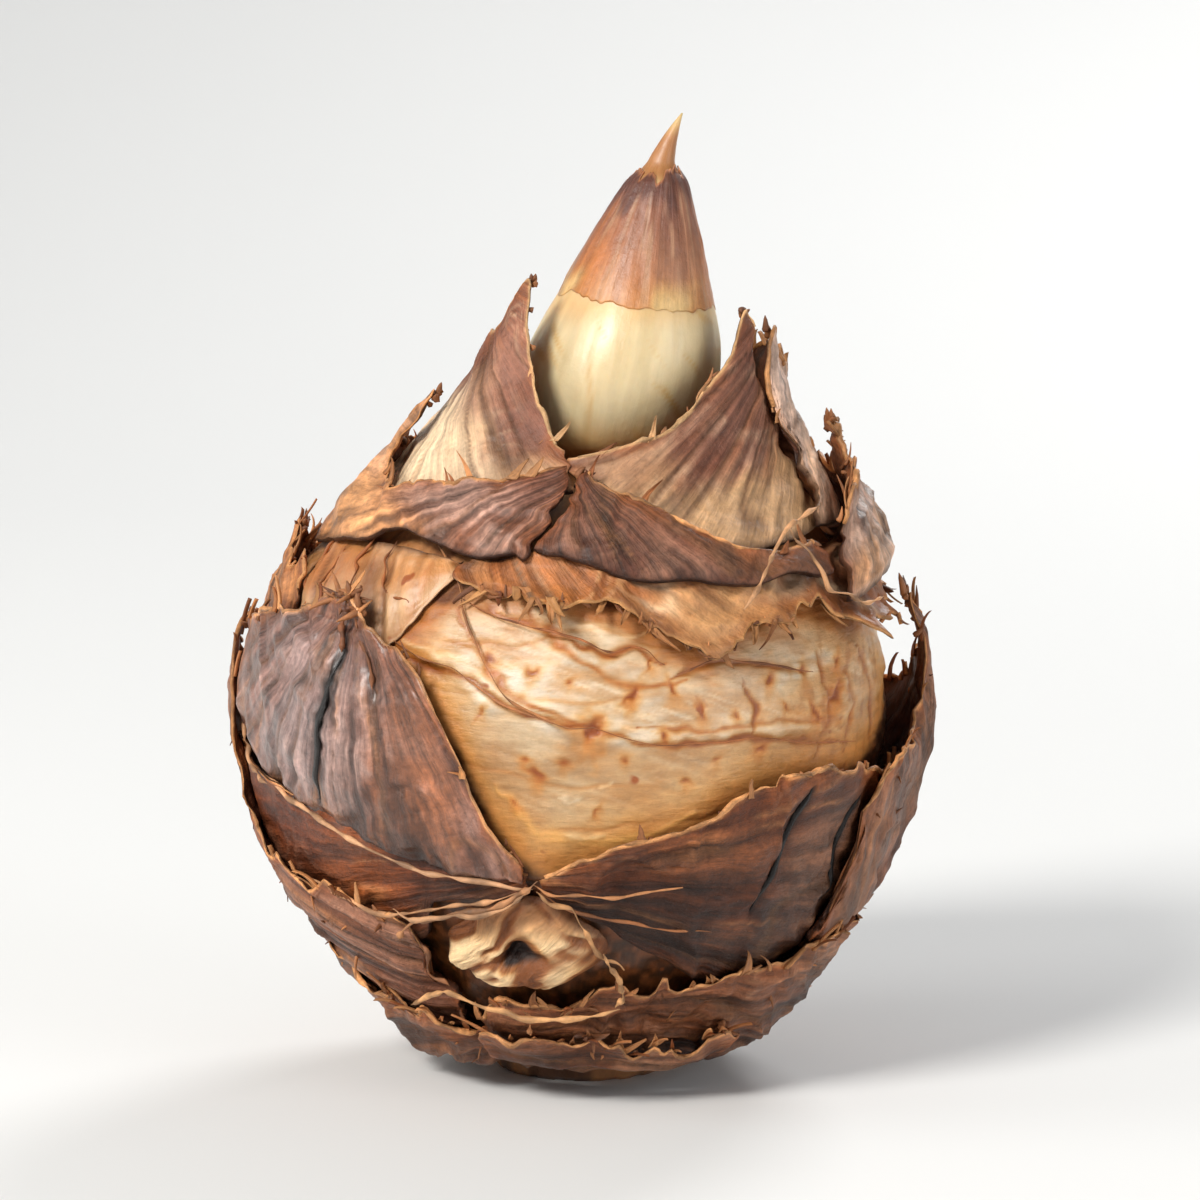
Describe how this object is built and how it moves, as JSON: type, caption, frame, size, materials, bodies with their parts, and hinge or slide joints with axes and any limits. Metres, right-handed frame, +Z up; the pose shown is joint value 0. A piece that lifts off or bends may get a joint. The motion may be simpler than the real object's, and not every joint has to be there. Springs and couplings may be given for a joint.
{
  "type": "alocasia corm",
  "caption": "Round plant corm with a pale pointed shoot in a torn sheath, curling dry papery scales and a resting side bud, standing on its root scar",
  "frame": {"origin": "centre of the flat root scar, on the surface the corm stands on", "axes": "+Z up along the corm; the picture's camera looks along +Y; +X is to the right in the picture, the side the shoot leans to"},
  "size_m": [0.0393, 0.035, 0.0516],
  "materials": {
    "flesh": "smooth waxy skin with fine streaks and scar lines",
    "shoot": "smooth, waxy",
    "sheath": "thin dry skin, satin",
    "tan_scale": "dry, ribbed lengthwise",
    "brown_scale": "dry, papery, faint sheen",
    "side_bud": "dry, wrinkled"
  },
  "bodies": {
    "root": {"corm_flesh": "flesh", "shoot": "shoot", "shoot_sheath": "sheath", "side_bud": "side_bud", "collar_scale_left": "tan_scale", "collar_scale_right": "tan_scale", "collar_scale_side": "brown_scale", "collar_scale_back": "brown_scale", "neck_scale_left": "brown_scale", "neck_scale_right": "brown_scale", "neck_scale_side": "brown_scale", "neck_scale_back": "brown_scale", "skirt_scale_right": "tan_scale", "skirt_scale_left": "tan_scale", "skirt_scale_back": "tan_scale", "shoulder_scale_left": "brown_scale", "side_scale_left": "brown_scale", "inner_scale_left": "brown_scale", "side_scale_right": "brown_scale", "outer_scale_right": "brown_scale", "outer_scale_left": "brown_scale", "back_scale": "brown_scale", "base_scale_left": "brown_scale", "base_scale_right": "brown_scale", "foot_scale_front": "brown_scale", "base_scale_back": "brown_scale"}
  },
  "joints": []
}
